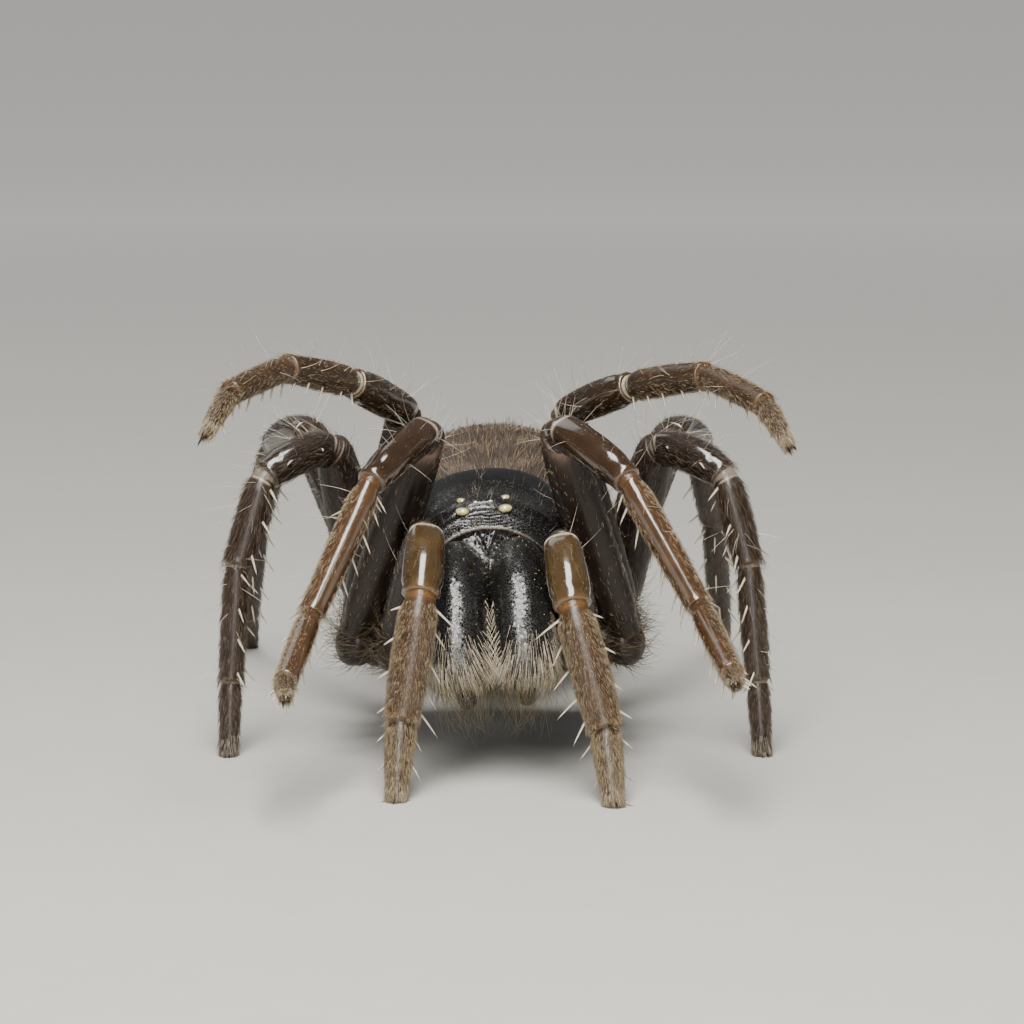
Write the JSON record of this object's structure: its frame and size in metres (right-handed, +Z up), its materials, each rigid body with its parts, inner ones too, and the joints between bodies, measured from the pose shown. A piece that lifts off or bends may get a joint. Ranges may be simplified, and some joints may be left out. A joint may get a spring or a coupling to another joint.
{
  "type": "trapdoor spider model",
  "caption": "Life-size still model of an adult female trapdoor spider with raised front legs, domed carapace, large jaws and an egg-shaped hairy abdomen.",
  "frame": {"origin": "middle of the bounding box on the floor that the feet stand on", "axes": "+Z up, the spider faces -Y, its own left side is +X"},
  "size_m": [0.014, 0.0262, 0.0107],
  "materials": {
    "black_cuticle": "glossy black cuticle with fine grain",
    "femur_cuticle": "satin brown-black cuticle with low keels",
    "dark_cuticle": "dark brown cuticle with short hair",
    "brown_cuticle": "red-brown cuticle with pale hair and spines",
    "abdomen_skin": "soft brown skin with short hair",
    "eye_lens": "clear amber lens",
    "eye_dark": "dark clear lens"
  },
  "bodies": {
    "root": {"abdomen": "abdomen_skin", "carapace": "black_cuticle", "chelicera_left": "black_cuticle", "chelicera_right": "black_cuticle", "eye_anterior_lateral_left": "eye_lens", "eye_anterior_lateral_right": "eye_lens", "eye_anterior_median_left": "eye_dark", "eye_anterior_median_right": "eye_dark", "eye_posterior_lateral_left": "eye_lens", "eye_posterior_lateral_right": "eye_lens", "eye_posterior_median_left": "eye_lens", "eye_posterior_median_right": "eye_lens", "fang_left": "dark_cuticle", "fang_right": "dark_cuticle", "leg1_left_coxa": "dark_cuticle", "leg1_left_femur": "femur_cuticle", "leg1_left_foot": "brown_cuticle", "leg1_left_patella_tibia": "brown_cuticle", "leg1_right_coxa": "dark_cuticle", "leg1_right_femur": "femur_cuticle", "leg1_right_foot": "brown_cuticle", "leg1_right_patella_tibia": "brown_cuticle", "leg2_left_coxa": "dark_cuticle", "leg2_left_femur": "femur_cuticle", "leg2_left_foot": "brown_cuticle", "leg2_left_patella_tibia": "brown_cuticle", "leg2_right_coxa": "dark_cuticle", "leg2_right_femur": "femur_cuticle", "leg2_right_foot": "brown_cuticle", "leg2_right_patella_tibia": "brown_cuticle", "leg3_left_coxa": "dark_cuticle", "leg3_left_femur": "femur_cuticle", "leg3_left_foot": "brown_cuticle", "leg3_left_patella_tibia": "brown_cuticle", "leg3_right_coxa": "dark_cuticle", "leg3_right_femur": "femur_cuticle", "leg3_right_foot": "brown_cuticle", "leg3_right_patella_tibia": "brown_cuticle", "leg4_left_coxa": "dark_cuticle", "leg4_left_femur": "femur_cuticle", "leg4_left_foot": "brown_cuticle", "leg4_left_patella_tibia": "brown_cuticle", "leg4_right_coxa": "dark_cuticle", "leg4_right_femur": "femur_cuticle", "leg4_right_foot": "brown_cuticle", "leg4_right_patella_tibia": "brown_cuticle", "palp_left_femur": "femur_cuticle", "palp_left_maxilla": "dark_cuticle", "palp_left_patella_tibia": "brown_cuticle", "palp_left_tarsus": "brown_cuticle", "palp_right_femur": "femur_cuticle", "palp_right_maxilla": "dark_cuticle", "palp_right_patella_tibia": "brown_cuticle", "palp_right_tarsus": "brown_cuticle", "pedicel": "dark_cuticle", "spinneret_long_left": "abdomen_skin", "spinneret_long_right": "abdomen_skin", "spinneret_median_left": "abdomen_skin", "spinneret_median_right": "abdomen_skin", "sternum": "dark_cuticle"}
  },
  "joints": []
}
